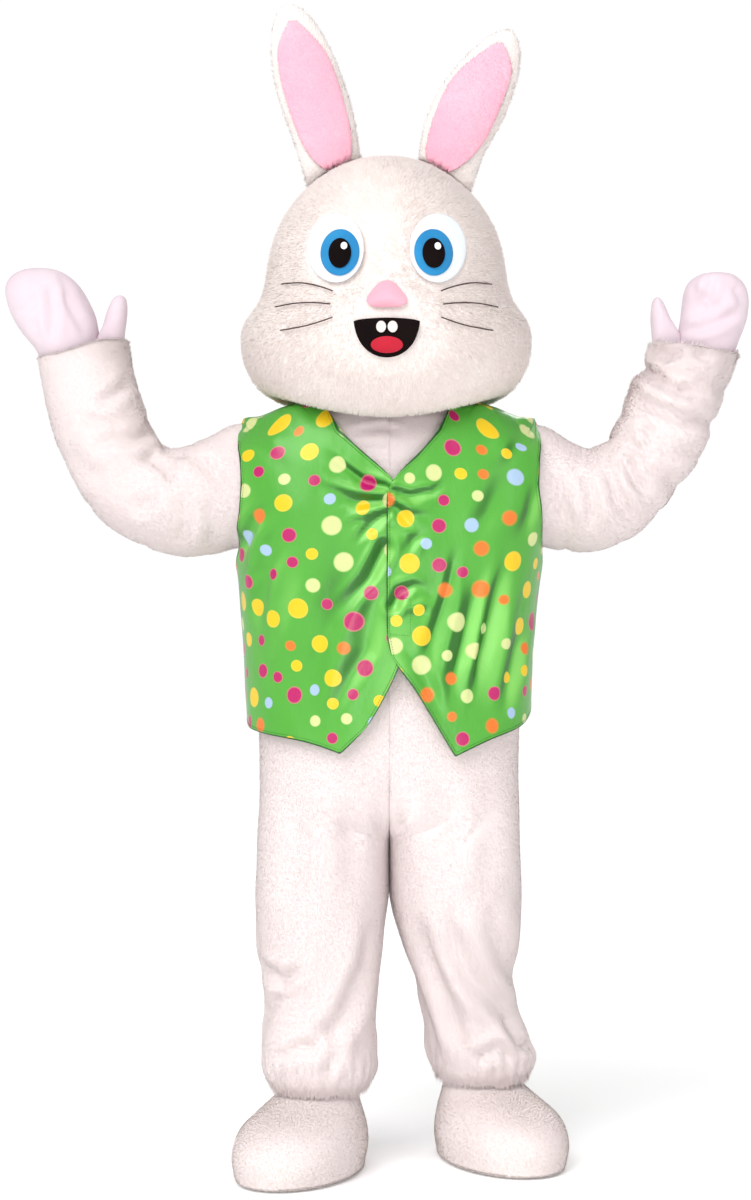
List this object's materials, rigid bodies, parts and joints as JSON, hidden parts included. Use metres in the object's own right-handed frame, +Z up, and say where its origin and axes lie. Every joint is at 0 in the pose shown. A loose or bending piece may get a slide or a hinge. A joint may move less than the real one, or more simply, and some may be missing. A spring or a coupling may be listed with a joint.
{
  "type": "rabbit mascot costume",
  "caption": "Full-body rabbit mascot costume: furry suit, padded head with upright ears, mittens, shoe covers and a dotted satin waistcoat, held in its worn pose.",
  "frame": {"origin": "on the wearer's midline at shoulder height, where the suit hangs from the wearer's shoulders; the shoe covers' soles are 1.36 m below it", "axes": "+Z up, -Y towards the front of the costume, +X towards the wearer's left"},
  "size_m": [1.34, 0.5169, 2.086],
  "materials": {
    "plush": "long-haired faux fur, warm off-white",
    "ear_plush": "short pink faux fur",
    "satin": "printed green satin, soft sheen",
    "mitten_fabric": "short brushed fleece, pinkish white",
    "eye_white": "smooth white felt",
    "eye_blue": "smooth blue felt",
    "face_black": "black felt",
    "nose_pink": "pink felt",
    "tongue_red": "red felt",
    "tooth_white": "white felt"
  },
  "bodies": {
    "root": {"ear_left": "plush", "ear_panel_left": "ear_plush", "ear_panel_right": "ear_plush", "ear_right": "plush", "eye_glint_left": "eye_white", "eye_glint_right": "eye_white", "eye_iris_left": "eye_blue", "eye_iris_right": "eye_blue", "eye_pupil_left": "face_black", "eye_pupil_right": "face_black", "eye_white_left": "eye_white", "eye_white_right": "eye_white", "foot_sole_left": "plush", "foot_sole_right": "plush", "foot_upper_left": "plush", "foot_upper_right": "plush", "head_back": "plush", "head_face": "plush", "mitten_back_left": "mitten_fabric", "mitten_back_right": "mitten_fabric", "mitten_palm_left": "mitten_fabric", "mitten_palm_right": "mitten_fabric", "mitten_thumb_left": "mitten_fabric", "mitten_thumb_right": "mitten_fabric", "mouth": "face_black", "nose": "nose_pink", "suit_back_left": "plush", "suit_back_right": "plush", "suit_back_zip": "plush", "suit_collar": "plush", "suit_front_left": "plush", "suit_front_right": "plush", "suit_sleeve_left": "plush", "suit_sleeve_right": "plush", "tongue": "tongue_red", "tooth_left": "tooth_white", "tooth_right": "tooth_white", "vest_back": "satin", "vest_front_left": "satin", "vest_front_right": "satin", "whisker_left_1": "face_black", "whisker_left_2": "face_black", "whisker_left_3": "face_black", "whisker_right_1": "face_black", "whisker_right_2": "face_black", "whisker_right_3": "face_black"}
  },
  "joints": []
}
